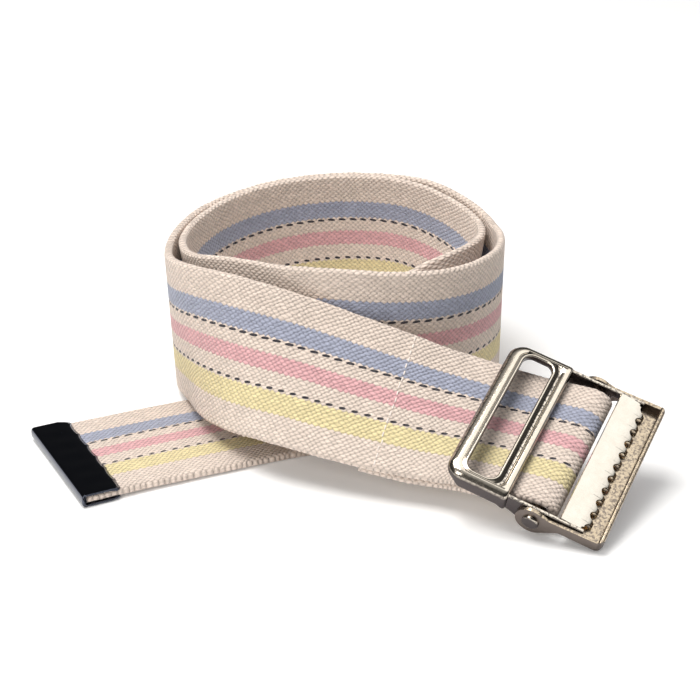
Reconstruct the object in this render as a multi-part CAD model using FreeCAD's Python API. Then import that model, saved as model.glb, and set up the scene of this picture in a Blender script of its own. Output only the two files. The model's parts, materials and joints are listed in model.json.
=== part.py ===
"""Cotton gait belt with a toothed metal buckle: one STEP per sub-part, in millimetres.

The belt stands loosely rolled on its edge, in about two turns. Its free end, the tail, comes out
from under the roll at the left and lies flat. Its other end, the strap, leaves the roll at the
left front, crosses to the right and leans back until the buckle lies nearly flat.
+Z is up, the buckle side faces -Y, and the origin is the bottom centre of the bounding box.
"""
import FreeCAD
import Part
import math
import os

from FreeCAD import Base

# ---------------------------------------------------------------- webbing
WEB_WIDTH = 50.8            # two-inch cotton webbing
WEB_THICK = 2.9
LAYER_GAP = 0.3             # clearance between a soft layer and what lies next to it

START_HEADING = 27.5        # of the tail, in degrees to the left of +X
START_LEAN = 90.0
START_LIFT = 0.75
# The walk from the free tip to the buckle, one row a span: node, length along the belt, turn to
# the left in degrees, lean of the upper edge at the span's end in degrees (0 upright, 90 flat)
# and lift of the lower edge above the ground at the span's end.
SPANS = [
    ("webbing_tail", 63.0, -4.0, 90.0, 0.0),
    ("webbing_tail_under_roll", 40.0, -11.0, 90.0, 0.0),
    ("webbing_tail_rise", 34.5, 24.0, 42.0, 0.0),
    ("webbing_inner_front", 21.5, 20.0, 8.0, 0.0),
    ("webbing_inner_right", 24.0, 42.0, -10.5, 0.5),
    ("webbing_inner_back_right", 44.5, 50.5, -1.0, 5.5),
    ("webbing_inner_back", 50.0, 58.0, -6.5, 3.0),
    ("webbing_inner_back_left", 51.0, 55.5, -10.5, 0.0),
    ("webbing_inner_left", 28.0, 33.0, -9.0, 2.5),
    ("webbing_front_left", 25.0, 26.0, 5.0, 7.5),
    ("webbing_front", 35.5, 29.5, 6.0, 10.0),
    ("webbing_front_right", 31.5, 34.5, 0.0, 8.0),
    ("webbing_outer_right", 35.5, 44.5, -0.5, 5.0),
    ("webbing_outer_right_rear", 35.5, 33.0, -0.5, 1.0),
    ("webbing_outer_back_right", 40.5, 36.5, 0.5, 5.0),
    ("webbing_outer_back", 50.5, 54.5, -1.0, 3.0),
    ("webbing_outer_back_left", 50.0, 48.0, -6.5, 0.5),
    ("webbing_outer_left", 40.0, 30.0, -3.0, 0.0),
    ("webbing_outer_left_front", 24.5, 25.0, -0.5, 4.5),
    ("webbing_strap", 51.5, 43.0, 42.0, 12.0),
    ("webbing_strap_twist", 53.5, 10.0, 60.5, 8.0),
    ("webbing_buckle_strap", 16.5, -17.5, 69.5, 10.0),
    ("webbing_strap_end", 24.0, 0.0, 69.5, 10.0),
]
EASE = 8.0                  # half of the stretch over which neighbouring spans blend
WALK_STEP = 0.5             # step of the walk
STATION_STEP = 6.0          # distance between the sections that shape a span

# ---------------------------------------------------------------- tip cap
CAP_LENGTH = 13.5
CAP_SHEET = 0.5
CAP_GAP = 0.12              # between the webbing and the crimped plates
CAP_TEETH = 5
CAP_TOOTH_DEPTH = 1.6

# ---------------------------------------------------------------- buckle
SHEET = 1.2                 # plated steel sheet of both stampings
LEVER_WIDTH = 57.0          # over the lever's side walls
LEVER_TOP = 5.8             # top face of the lever above the axle's centre
LEVER_FRONT = -29.5         # slotted end, along the buckle from the axle
LEVER_CORNER = 5.0
LEVER_SKIRT = 5.6           # depth of the side walls at the slotted end
LEVER_END_SKIRT = 3.4
SLOT_START = -25.0
SLOT_LENGTH = 10.0
SLOT_WIDTH = 51.6
SLOT_CORNER = 3.2
BAR_END = -9.0              # right edge of the cross bar, where the window starts
BAR_LIP = 1.5               # depth of the turned-down edge of the cross bar
JAW_START = 8.2             # left edge of the toothed plate
JAW_BEND = 14.6             # where the teeth bend down
JAW_END = 17.8
JAW_DROP = 1.2              # fall of the toothed plate from its left edge to the bend
TOOTH_COUNT = 10
TOOTH_DEPTH = 1.6
TOOTH_GAP = 0.2             # between the teeth and the base's floor, jaw closed
LEVER_BOSS = 4.6            # radius of the lever's wall round the axle
PRESS_RADIUS = 2.0          # outer rounding where a stamping turns down
WALL_OVER_FLOOR = 0.35      # lever walls over the base's floor, jaw closed

AXLE_RADIUS = 2.0
AXLE_FIT = 0.05             # radial clearance of the axle in both walls
HEAD_RADIUS = 2.8
HEAD_HEIGHT = 1.1
WALL_GAP = 0.15             # between the lever's and the base's side walls

EAR_RADIUS = 5.2
FLOOR_START = 9.0
FLOOR_TOP = 1.6
BASE_END = 23.2
LIP_TOP = 5.0
LIP_ROLL = 0.9
BASE_CORNER = 2.6           # rounding of the lip's two outer corners

STRAP_DIP = 18.5            # angle between the strap and the buckle's plane
STITCH_FROM_AXLE = 57.5     # stitch row, along the strap from the axle
RETURN_TAIL = 5.0           # raw end of the folded layer past the stitch row
STITCH_COUNT = 17
THREAD_RADIUS = 0.35
RETURN_ANGLE = 24.0         # slope of the folded layer where it leaves the loop
RETURN_BEND = 8.0           # radius that brings it along the strap


# ---------------------------------------------------------------- the walk along the belt
def eased(knots, values, place):
    """Value at a place: straight lines between the knots, averaged over EASE each side."""
    total = 0.0
    samples = 9
    for index in range(samples):
        at = place + EASE * (2.0 * index / (samples - 1) - 1.0)
        at = min(max(at, knots[0]), knots[-1])
        span = 0
        while span < len(knots) - 2 and at > knots[span + 1]:
            span += 1
        share = (at - knots[span]) / (knots[span + 1] - knots[span])
        total += values[span] + share * (values[span + 1] - values[span])
    return total / samples


def belt_knots():
    """Places along the belt where spans meet, with the heading, lean and lift there."""
    places = [0.0]
    headings = [START_HEADING]
    leans = [START_LEAN]
    lifts = [START_LIFT]
    for _, length, turn, lean, lift in SPANS:
        places.append(places[-1] + length)
        headings.append(headings[-1] + turn)
        leans.append(lean)
        lifts.append(lift)
    return places, headings, leans, lifts


def walk():
    """Frames along the belt: centre, direction along, direction to the upper edge, inward."""
    places, headings, leans, lifts = belt_knots()
    steps = int(round(places[-1] / WALK_STEP))
    heights = []
    for index in range(steps + 1):
        place = index * WALK_STEP
        lean = math.radians(eased(places, leans, place))
        lift = eased(places, lifts, place)
        rise = WEB_WIDTH / 2 * math.cos(lean) + WEB_THICK / 2 * abs(math.sin(lean))
        heights.append(lift + rise)
    frames = []
    x, y = 0.0, 0.0
    for index in range(steps + 1):
        place = index * WALK_STEP
        before, after = max(index - 1, 0), min(index + 1, steps)
        pitch = math.asin((heights[after] - heights[before]) / ((after - before) * WALK_STEP))
        heading = math.radians(eased(places, headings, place))
        lean = math.radians(eased(places, leans, place))
        flat = Base.Vector(math.cos(heading), math.sin(heading), 0)
        along = flat * math.cos(pitch) + Base.Vector(0, 0, math.sin(pitch))
        left = Base.Vector(-math.sin(heading), math.cos(heading), 0)
        upper = along.cross(left) * math.cos(lean) + left * math.sin(lean)
        frames.append((Base.Vector(x, y, heights[index]), along, upper, upper.cross(along)))
        x += along.x * WALK_STEP
        y += along.y * WALK_STEP
    return frames


def frame_at(frames, place):
    """Frame at any place along the belt, between two steps of the walk."""
    index = min(int(place / WALK_STEP), len(frames) - 2)
    share = place / WALK_STEP - index
    mixed = [a * (1.0 - share) + b * share for a, b in zip(frames[index], frames[index + 1])]
    return tuple(mixed)


def corner(frame, side, depth):
    """Point of a section: side along the width, depth inward from the middle of the webbing."""
    return frame[0] + frame[2] * side + frame[3] * depth


def ribbon(frames, start, end, inner, outer):
    """Solid of webbing between two places, from depth outer to depth inner."""
    count = max(3, int(math.ceil((end - start) / STATION_STEP)) + 1)
    stations = [frame_at(frames, start + (end - start) * i / (count - 1)) for i in range(count)]
    half = WEB_WIDTH / 2
    shares = [float(i) for i in range(count)]
    rails = []
    for side, depth in ((half, outer), (half, inner), (-half, inner), (-half, outer)):
        curve = Part.BSplineCurve()
        points = [corner(frame, side, depth) for frame in stations]
        curve.interpolate(Points=points, Parameters=shares)
        rails.append(curve.toShape())
    faces = [Part.makeRuledSurface(rails[i], rails[(i + 1) % 4]) for i in range(4)]
    for frame in (stations[0], stations[-1]):
        outline = [corner(frame, half, outer), corner(frame, half, inner),
                   corner(frame, -half, inner), corner(frame, -half, outer)]
        faces.append(Part.Face(Part.makePolygon(outline + outline[:1])))
    shell = Part.makeShell(faces)
    shell.sewShape()
    solid = Part.makeSolid(shell)
    if solid.Volume < 0:
        solid.reverse()
    return solid


def webbing_spans(frames):
    """Each span of the belt as its own solid, and the place where the belt ends."""
    nodes = {}
    place = 0.0
    for name, length, _, _, _ in SPANS:
        nodes[name] = ribbon(frames, place, place + length, WEB_THICK / 2, -WEB_THICK / 2)
        place += length
    return nodes, place


# ---------------------------------------------------------------- placing and profiles
def placed(shape, frame):
    """A copy of a shape drawn in a frame's own axes: X along, Y to the upper edge, Z outward."""
    origin, x_axis, y_axis, z_axis = frame
    matrix = FreeCAD.Matrix(
        x_axis.x, y_axis.x, z_axis.x, origin.x,
        x_axis.y, y_axis.y, z_axis.y, origin.y,
        x_axis.z, y_axis.z, z_axis.z, origin.z)
    moved = shape.copy()
    moved.Placement = FreeCAD.Placement(matrix)
    return moved


def prism(points, half_width):
    """Solid from an outline in X and Z, carried across Y on both sides of the middle."""
    outline = [Base.Vector(x, -half_width, z) for x, z in points]
    face = Part.Face(Part.makePolygon(outline + outline[:1]))
    return face.extrude(Base.Vector(0, 2 * half_width, 0))


def box(x_low, x_high, y_low, y_high, z_low, z_high):
    """Box between two corners."""
    corner_low = Base.Vector(x_low, y_low, z_low)
    return Part.makeBox(x_high - x_low, y_high - y_low, z_high - z_low, corner_low)


def rounded_block(x_low, x_high, half_width, z_low, z_high, radius):
    """Block with its four upright edges rounded."""
    block = box(x_low, x_high, -half_width, half_width, z_low, z_high)
    upright = [edge for edge in block.Edges if abs(edge.tangentAt(edge.FirstParameter).z) > 0.9]
    return block.makeFillet(radius, upright)


def cross_rod(radius, half_width, x=0.0, z=0.0):
    """Cylinder across the buckle."""
    return Part.makeCylinder(radius, 2 * half_width, Base.Vector(x, -half_width, z), Base.Vector(0, 1, 0))


def ring_sector(x, z, radius, start, end, half_width):
    """Webbing bent round (x, z) from one angle to another, in degrees, across the width."""
    def at(distance, angle):
        turn = math.radians(angle)
        return Base.Vector(x + distance * math.cos(turn), -half_width, z + distance * math.sin(turn))

    outer, inner = radius + WEB_THICK / 2, radius - WEB_THICK / 2
    middle = (start + end) / 2
    edges = [
        Part.Arc(at(outer, start), at(outer, middle), at(outer, end)).toShape(),
        Part.makeLine(at(outer, end), at(inner, end)),
        Part.Arc(at(inner, end), at(inner, middle), at(inner, start)).toShape(),
        Part.makeLine(at(inner, start), at(outer, start)),
    ]
    return Part.Face(Part.Wire(edges)).extrude(Base.Vector(0, 2 * half_width, 0))


# ---------------------------------------------------------------- loop round the axle
LOOP_RADIUS = AXLE_RADIUS + LAYER_GAP + WEB_THICK / 2     # middle of the webbing round the axle
RETURN_DEPTH = WEB_THICK + LAYER_GAP                      # folded layer below the strap


def axle_loop():
    """The webbing round the axle, drawn about the axle, and how far back its end lies."""
    slope = math.radians(RETURN_ANGLE)
    half = WEB_WIDTH / 2
    bottom = -LOOP_RADIUS * math.cos(slope)
    top = LOOP_RADIUS - RETURN_DEPTH
    straight = (top - bottom - RETURN_BEND * (1 - math.cos(slope))) / math.sin(slope)
    leave_x = -LOOP_RADIUS * math.sin(slope)
    arrive_x = leave_x - straight * math.cos(slope)
    end_x = arrive_x - RETURN_BEND * math.sin(slope)
    loop = ring_sector(0, 0, LOOP_RADIUS, 90.0, -90.0 - RETURN_ANGLE, half)
    thick_x, thick_z = WEB_THICK / 2 * math.sin(slope), WEB_THICK / 2 * math.cos(slope)
    arrive_z = bottom + straight * math.sin(slope)
    run = prism([(leave_x - thick_x, bottom - thick_z), (leave_x + thick_x, bottom + thick_z),
                 (arrive_x + thick_x, arrive_z + thick_z), (arrive_x - thick_x, arrive_z - thick_z)], half)
    bend = ring_sector(end_x, top - RETURN_BEND, RETURN_BEND, 90.0, 90.0 - RETURN_ANGLE, half)
    return loop.multiFuse([run, bend]).removeSplitter(), -end_x


def loop_stitching(frames, place):
    """One row of thread across the strap: a stitch on each face, again and again."""
    pitch = WEB_WIDTH / STITCH_COUNT
    frame = frame_at(frames, place)
    stitches = []
    for depth in (-WEB_THICK / 2 - THREAD_RADIUS, WEB_THICK / 2 + RETURN_DEPTH + THREAD_RADIUS):
        for index in range(STITCH_COUNT):
            low = (index + 0.15) * pitch - WEB_WIDTH / 2
            start = corner(frame, low, depth)
            stitches.append(Part.makeCylinder(THREAD_RADIUS, 0.7 * pitch, start, frame[2]))
    return Part.makeCompound(stitches)


# ---------------------------------------------------------------- tip cap
def tip_cap():
    """One strip of sheet folded over the free end, with toothed inner edges on both plates."""
    face_z = WEB_THICK / 2 + CAP_GAP
    fold_x = -CAP_GAP - CAP_SHEET
    pitch = WEB_WIDTH / CAP_TEETH
    half = WEB_WIDTH / 2
    outline = [Base.Vector(fold_x, half, 0), Base.Vector(fold_x, -half, 0)]
    for tooth in range(CAP_TEETH):
        low = -half + tooth * pitch
        outline.append(Base.Vector(CAP_LENGTH - CAP_TOOTH_DEPTH, low, 0))
        outline.append(Base.Vector(CAP_LENGTH, low + pitch / 2, 0))
    outline.append(Base.Vector(CAP_LENGTH - CAP_TOOTH_DEPTH, half, 0))
    plate = Part.Face(Part.makePolygon(outline + outline[:1])).extrude(Base.Vector(0, 0, CAP_SHEET))
    upper = plate.translated(Base.Vector(0, 0, face_z))
    lower = plate.translated(Base.Vector(0, 0, -face_z - CAP_SHEET))
    fold = box(fold_x, -CAP_GAP, -half, half, -face_z - CAP_SHEET, face_z + CAP_SHEET)
    cap = upper.multiFuse([lower, fold]).removeSplitter()
    outer = [edge for edge in cap.Edges if edge.Length > 0.9 * WEB_WIDTH
             and edge.BoundBox.XMax < fold_x + 0.01 and abs(edge.BoundBox.ZMax) > face_z]
    return cap.makeFillet(0.9 * CAP_SHEET, outer)


# ---------------------------------------------------------------- buckle
LEVER_HALF = LEVER_WIDTH / 2
BASE_INNER = LEVER_HALF + WALL_GAP
BASE_HALF = BASE_INNER + SHEET
JAW_WALL_END = JAW_BEND + 1.5       # right end of the lever's side walls


def lever_skirts():
    """Everything the lever's walls may fill, seen from the side."""
    skirt_z = LEVER_TOP - LEVER_SKIRT
    end_z = LEVER_TOP - LEVER_END_SKIRT
    wall_z = FLOOR_TOP + WALL_OVER_FLOOR
    outline = [(LEVER_FRONT - 1, LEVER_TOP + 1), (BAR_END, LEVER_TOP + 1), (BAR_END, LEVER_TOP - 0.4),
               (JAW_WALL_END, LEVER_TOP - 0.4), (JAW_WALL_END, wall_z), (LEVER_BOSS + 1.2, wall_z),
               (LEVER_BOSS * 0.7, -LEVER_BOSS * 0.7), (-LEVER_BOSS * 0.6, -LEVER_BOSS * 0.8),
               (-2.6 * LEVER_BOSS, skirt_z), (LEVER_FRONT + 4.5, skirt_z), (LEVER_FRONT + 2.0, end_z),
               (LEVER_FRONT - 1, end_z)]
    return prism(outline, LEVER_HALF + 1).fuse(cross_rod(LEVER_BOSS, LEVER_HALF + 1))


def pressed_tray(inset):
    """Block of the lever with its corners and upper edges rounded, shrunk by the sheet for the inside."""
    low, top = -2 * LEVER_BOSS, LEVER_TOP - inset
    block = box(LEVER_FRONT + inset, JAW_WALL_END + 4, inset - LEVER_HALF, LEVER_HALF - inset, low, top)
    front = [edge for edge in block.Edges if edge.BoundBox.XMax < LEVER_FRONT + inset + 0.01
             and edge.BoundBox.ZLength > 1]
    block = block.makeFillet(LEVER_CORNER - inset, front)
    upper = [edge for edge in block.Edges if edge.BoundBox.ZMin > top - 0.01
             and edge.BoundBox.XMin < JAW_WALL_END]
    return block.makeFillet(PRESS_RADIUS - inset, upper)


def jaw_plate():
    """Toothed plate across the lever: it falls a little, then its scalloped edge bends down."""
    bend_z = LEVER_TOP - JAW_DROP
    tip_z = FLOOR_TOP + TOOTH_GAP
    outline = [(JAW_START, LEVER_TOP - 0.5), (JAW_BEND, bend_z), (JAW_END, tip_z + 0.35),
               (JAW_END - 0.35, tip_z), (JAW_END - 1.3, tip_z + 0.2), (JAW_BEND - 0.6, bend_z - SHEET),
               (JAW_START, LEVER_TOP - 0.5 - SHEET)]
    plate = prism(outline, LEVER_HALF - SHEET / 2)
    pitch = (2 * (LEVER_HALF - SHEET) - 3.0) / TOOTH_COUNT
    for index in range(TOOTH_COUNT + 1):
        y = (index - TOOTH_COUNT / 2) * pitch
        notch = Part.makeCylinder(TOOTH_DEPTH, 8 * SHEET, Base.Vector(JAW_END + 0.3, y, FLOOR_TOP - SHEET))
        plate = plate.cut(notch)
    return plate


def lever_frame():
    """Slotted end, cross bar, window, side walls and toothed plate: one stamping."""
    slot_end = SLOT_START + SLOT_LENGTH
    tray = pressed_tray(0.0).cut(pressed_tray(SHEET)).common(lever_skirts())
    window = box(BAR_END, JAW_WALL_END + 5, SHEET - LEVER_HALF, LEVER_HALF - SHEET, -20, 20)
    bar_lip = box(BAR_END - SHEET, BAR_END, SHEET - LEVER_HALF, LEVER_HALF - SHEET,
                  LEVER_TOP - SHEET - BAR_LIP + 0.2, LEVER_TOP - 0.4)
    rim = rounded_block(SLOT_START - SHEET / 2, slot_end + SHEET / 2, SLOT_WIDTH / 2 + SHEET / 2,
                        LEVER_TOP - 2 * SHEET, LEVER_TOP - SHEET / 2, SLOT_CORNER + SHEET / 2)
    slot = rounded_block(SLOT_START, slot_end, SLOT_WIDTH / 2, LEVER_TOP - 10, LEVER_TOP + 5, SLOT_CORNER)
    pressed = tray.cut(window).multiFuse([bar_lip, rim]).cut(slot)
    lever = pressed.fuse(jaw_plate())
    return lever.cut(cross_rod(AXLE_RADIUS + AXLE_FIT, LEVER_HALF + 5)).removeSplitter()


def base_frame():
    """Floor, side walls with ears and a turned-up end lip: one stamping."""
    floor_low = FLOOR_TOP - SHEET
    side = prism([(0, EAR_RADIUS), (EAR_RADIUS, EAR_RADIUS * 0.72), (BASE_END - 1.5, LIP_TOP - 0.6),
                  (BASE_END, LIP_TOP - 1.6), (BASE_END, floor_low + 0.8), (BASE_END - 0.8, floor_low),
                  (FLOOR_START, floor_low), (EAR_RADIUS * 0.6, -EAR_RADIUS * 0.8), (0, -EAR_RADIUS)],
                 BASE_HALF)
    walls = side.fuse(cross_rod(EAR_RADIUS, BASE_HALF))
    walls = walls.cut(box(-20, BASE_END + 5, -BASE_INNER, BASE_INNER, -20, 20))
    floor = box(FLOOR_START, BASE_END - SHEET / 2, -BASE_HALF, BASE_HALF, floor_low, FLOOR_TOP)
    lip = box(BASE_END - SHEET, BASE_END, -BASE_HALF, BASE_HALF, floor_low + 0.8, LIP_TOP - LIP_ROLL)
    toe = prism([(BASE_END - 2 * SHEET, floor_low), (BASE_END - 0.8, floor_low),
                 (BASE_END, floor_low + 0.8), (BASE_END, FLOOR_TOP), (BASE_END - 2 * SHEET, FLOOR_TOP)],
                BASE_HALF)
    roll = cross_rod(LIP_ROLL, BASE_HALF, BASE_END - LIP_ROLL, LIP_TOP - LIP_ROLL)
    base = walls.multiFuse([floor, toe, lip, roll])
    outline = rounded_block(-3 * EAR_RADIUS, BASE_END, BASE_HALF, -3 * EAR_RADIUS, 3 * EAR_RADIUS, BASE_CORNER)
    base = base.common(outline)
    return base.cut(cross_rod(AXLE_RADIUS + AXLE_FIT, BASE_HALF + 5)).removeSplitter()


def axle_rivet():
    """The pin through both stampings and the loop, with a domed head outside each ear."""
    pin = cross_rod(AXLE_RADIUS, BASE_HALF)
    heads = []
    for side in (-1, 1):
        start = Base.Vector(0, side * BASE_HALF, 0)
        head = Part.makeCylinder(HEAD_RADIUS, HEAD_HEIGHT, start, Base.Vector(0, side, 0))
        face_y = side * (BASE_HALF + HEAD_HEIGHT)
        rim = [edge for edge in head.Edges if abs(edge.BoundBox.YMin - face_y) < 0.01
               and abs(edge.BoundBox.YMax - face_y) < 0.01]
        heads.append(head.makeFillet(0.8 * HEAD_HEIGHT, rim))
    return pin.multiFuse(heads).removeSplitter()


# ---------------------------------------------------------------- the whole belt
def buckle_frame(strap_end):
    """Axes of the buckle about its axle, tipped from the strap by the dip angle."""
    point, along, upper, inward = strap_end
    outward = inward * -1
    dip = math.radians(STRAP_DIP)
    x_axis = along * math.cos(dip) - outward * math.sin(dip)
    z_axis = along * math.sin(dip) + outward * math.cos(dip)
    return point + inward * LOOP_RADIUS, x_axis, upper, z_axis


def build():
    """Every sub-part by name, with the origin at the bottom centre of the bounding box."""
    frames = walk()
    nodes, belt_end = webbing_spans(frames)
    strap_end = frame_at(frames, belt_end)
    outward = strap_end[3] * -1
    axle = strap_end[0] + strap_end[3] * LOOP_RADIUS
    loop, loop_back = axle_loop()
    nodes["webbing_axle_loop"] = placed(loop, (axle, strap_end[1], strap_end[2], outward))
    stitch_place = belt_end - STITCH_FROM_AXLE
    nodes["webbing_loop_return"] = ribbon(
        frames, stitch_place - RETURN_TAIL, belt_end - loop_back,
        RETURN_DEPTH + WEB_THICK / 2, RETURN_DEPTH - WEB_THICK / 2)
    nodes["loop_stitching"] = loop_stitching(frames, stitch_place)
    tip = frame_at(frames, 0.0)
    nodes["tip_cap"] = placed(tip_cap(), (tip[0], tip[1], tip[2], tip[3] * -1))
    buckle = buckle_frame(strap_end)
    nodes["lever_frame"] = placed(lever_frame(), buckle)
    nodes["base_frame"] = placed(base_frame(), buckle)
    nodes["axle_rivet"] = placed(axle_rivet(), buckle)

    boxes = [shape.optimalBoundingBox() for shape in nodes.values()]
    shift = Base.Vector(
        -(min(b.XMin for b in boxes) + max(b.XMax for b in boxes)) / 2,
        -(min(b.YMin for b in boxes) + max(b.YMax for b in boxes)) / 2,
        -min(b.ZMin for b in boxes))
    for shape in nodes.values():
        shape.translate(shift)
    print("axle centre", buckle[0] + shift, "axis", buckle[2])
    print("lowest", {name: round(s.optimalBoundingBox().ZMin, 2) for name, s in nodes.items()})
    return nodes


def main():
    """Writes each sub-part to its own STEP file."""
    os.makedirs("parts", exist_ok=True)
    for name, shape in build().items():
        print(name, "valid", shape.isValid(), "solids", len(shape.Solids), "volume", round(shape.Volume))
        shape.exportStep("parts/" + name + ".step")


main()
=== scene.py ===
# %% [markdown]
# # A striped cotton gait belt with a metal buckle
# The belt stands on its edge in a loose roll of about two turns. Its free end lies flat at the
# left under a crimped metal cap, and its other end leans back into a toothed, hinged buckle.
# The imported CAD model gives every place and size, so the first cell loads it.

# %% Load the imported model
import json
import math
import bmesh
import bpy
import numpy as np
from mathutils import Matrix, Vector


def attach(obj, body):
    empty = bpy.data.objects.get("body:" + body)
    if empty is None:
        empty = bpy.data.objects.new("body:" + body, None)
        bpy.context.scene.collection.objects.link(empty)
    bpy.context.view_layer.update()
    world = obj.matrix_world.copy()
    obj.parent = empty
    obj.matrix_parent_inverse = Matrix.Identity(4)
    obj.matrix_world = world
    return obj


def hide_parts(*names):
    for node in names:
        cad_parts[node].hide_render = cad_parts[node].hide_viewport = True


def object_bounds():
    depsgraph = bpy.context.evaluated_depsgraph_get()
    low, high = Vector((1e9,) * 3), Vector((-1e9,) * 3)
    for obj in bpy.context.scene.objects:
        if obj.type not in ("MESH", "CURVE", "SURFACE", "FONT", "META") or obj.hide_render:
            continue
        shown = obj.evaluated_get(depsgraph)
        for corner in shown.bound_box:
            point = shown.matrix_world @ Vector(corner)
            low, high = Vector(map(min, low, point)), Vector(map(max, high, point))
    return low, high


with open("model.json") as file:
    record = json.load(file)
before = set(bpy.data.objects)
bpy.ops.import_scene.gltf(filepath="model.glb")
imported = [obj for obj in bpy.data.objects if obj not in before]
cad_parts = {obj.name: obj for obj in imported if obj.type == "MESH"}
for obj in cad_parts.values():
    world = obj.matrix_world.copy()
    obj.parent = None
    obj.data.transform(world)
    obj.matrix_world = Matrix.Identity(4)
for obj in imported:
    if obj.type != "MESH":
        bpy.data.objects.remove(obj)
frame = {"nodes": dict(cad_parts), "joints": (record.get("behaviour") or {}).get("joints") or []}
cad_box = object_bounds()
MM = 0.001
rng = np.random.default_rng(7)
print("CAD box in mm:", [round(v / MM, 1) for corner in cad_box for v in corner])

# %% [markdown]
# ## Camera and studio
# A camera stands for the eye, so it comes first. It looks down at the belt by about 26 degrees
# from 0.66 m away, with a long lens. The belt lies on a white table under two soft square lamps.
# Polished plate shows what stands round it, so the room is dark at most heights, which makes the
# flat cap look black, and glows in one direction, which lights the buckle's tilted plate.

# %% Camera
LOOK_AT = Vector((0.0035, 0.0480, 0.0))
LOOK_DOWN = math.radians(25.8)
DISTANCE = 0.664
FIELD = math.radians(22.5571)

lens = bpy.data.cameras.new("eye")
lens.angle = FIELD
lens.clip_start = 0.01
camera = bpy.data.objects.new("eye", lens)
back = Vector((0, -math.cos(LOOK_DOWN), math.sin(LOOK_DOWN)))
camera.location = LOOK_AT + DISTANCE * back
camera.rotation_euler = (math.pi / 2 - LOOK_DOWN, 0, 0)
bpy.context.scene.collection.objects.link(camera)
bpy.context.scene.camera = camera
bpy.context.scene.view_settings.view_transform = "Standard"
print("camera looks down", round(math.degrees(LOOK_DOWN), 1), "degrees")

# %% [markdown]
# ## Writing shader maths as Python
# A material is a small network of nodes. Wiring each sum by hand hides the idea, so a socket is
# wrapped in a class whose operators add the Math nodes for it.

# %% A socket that can be added, multiplied and compared
class Value:
    """One shader number; + - * / and the named functions add Math nodes."""

    def __init__(self, paint, socket):
        self.paint = paint
        self.socket = socket

    def math(self, operation, *others, clamp=False):
        values = {i: v for i, v in enumerate((self,) + others)}
        return self.paint.node("ShaderNodeMath", {"operation": operation, "use_clamp": clamp}, values)

    def __add__(self, other): return self.math("ADD", other)
    def __radd__(self, other): return self.math("ADD", other)
    def __sub__(self, other): return self.math("SUBTRACT", other)
    def __rsub__(self, other): return self.paint.number(other).math("SUBTRACT", self)
    def __mul__(self, other): return self.math("MULTIPLY", other)
    def __rmul__(self, other): return self.math("MULTIPLY", other)
    def __truediv__(self, other): return self.math("DIVIDE", other)
    def __pow__(self, other): return self.math("POWER", other)
    def __gt__(self, other): return self.math("GREATER_THAN", other)
    def __lt__(self, other): return self.math("LESS_THAN", other)
    def floor(self): return self.math("FLOOR")
    def fract(self): return self.math("FRACT")
    def size(self): return self.math("ABSOLUTE")
    def clamp(self): return self.math("ADD", 0.0, clamp=True)


class Paint:
    """A material being written: its node tree and its Principled shader."""

    def __init__(self, name, **constants):
        self.material = bpy.data.materials.new(name)
        self.material.use_nodes = True
        self.tree = self.material.node_tree
        self.tree.nodes.clear()
        self.shader = self.tree.nodes.new("ShaderNodeBsdfPrincipled")
        out = self.tree.nodes.new("ShaderNodeOutputMaterial")
        self.tree.links.new(self.shader.outputs["BSDF"], out.inputs["Surface"])
        for socket, value in constants.items():
            self.shader.inputs[socket.replace("_", " ")].default_value = value

    def node(self, kind, settings, inputs, output=0):
        """Adds one node: its settings first, then a value or a link for each named socket."""
        made = self.tree.nodes.new(kind)
        for name, value in settings.items():
            if name == "stops":
                ramp = made.color_ramp
                while len(ramp.elements) < len(value):
                    ramp.elements.new(0.5)
                for stop, (place, colour) in zip(ramp.elements, value):
                    stop.position, stop.color = place, colour
            else:
                setattr(made, name, value)
        for socket, value in inputs.items():
            if isinstance(value, Value):
                self.tree.links.new(value.socket, made.inputs[socket])
            else:
                made.inputs[socket].default_value = value
        return Value(self, made.outputs[output])

    def number(self, value):
        return self.node("ShaderNodeMath", {"operation": "ADD"}, {0: value, 1: 0.0})

    def place(self):
        return self.node("ShaderNodeTexCoord", {}, {}, "Object")

    def noise(self, vector, scale, detail=2.0, roughness=0.5, output="Fac"):
        return self.node("ShaderNodeTexNoise", {}, {"Vector": vector, "Scale": scale, "Detail": detail,
                                                    "Roughness": roughness}, output)

    def mix(self, share, low, high):
        """Colour between low and high."""
        return self.node("ShaderNodeMix", {"data_type": "RGBA"}, {0: share, 6: low, 7: high}, 2)

    def tint(self, colour, amount):
        """Colour times a grey amount."""
        grey = self.node("ShaderNodeCombineXYZ", {}, {0: amount, 1: amount, 2: amount})
        return self.node("ShaderNodeMix", {"data_type": "RGBA", "blend_type": "MULTIPLY"},
                         {0: 1.0, 6: colour, 7: grey}, 2)

    def dot(self, vector, direction):
        """How far a vector goes along a fixed direction."""
        return self.node("ShaderNodeVectorMath", {"operation": "DOT_PRODUCT"},
                         {0: vector, 1: tuple(direction)}, "Value")

    def bump(self, height, strength, distance):
        inputs = {"Height": height, "Strength": strength, "Distance": distance}
        return self.node("ShaderNodeBump", {}, inputs)

    def feed(self, socket, value):
        self.tree.links.new(value.socket, self.shader.inputs[socket])


def rgb(red, green, blue):
    """Linear colour from the 0-255 numbers of a colour chart."""
    chart = np.array([red, green, blue]) / 255
    linear = np.where(chart < 0.04045, chart / 12.92, ((chart + 0.055) / 1.055) ** 2.4)
    return (*[float(v) for v in linear], 1.0)

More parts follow.
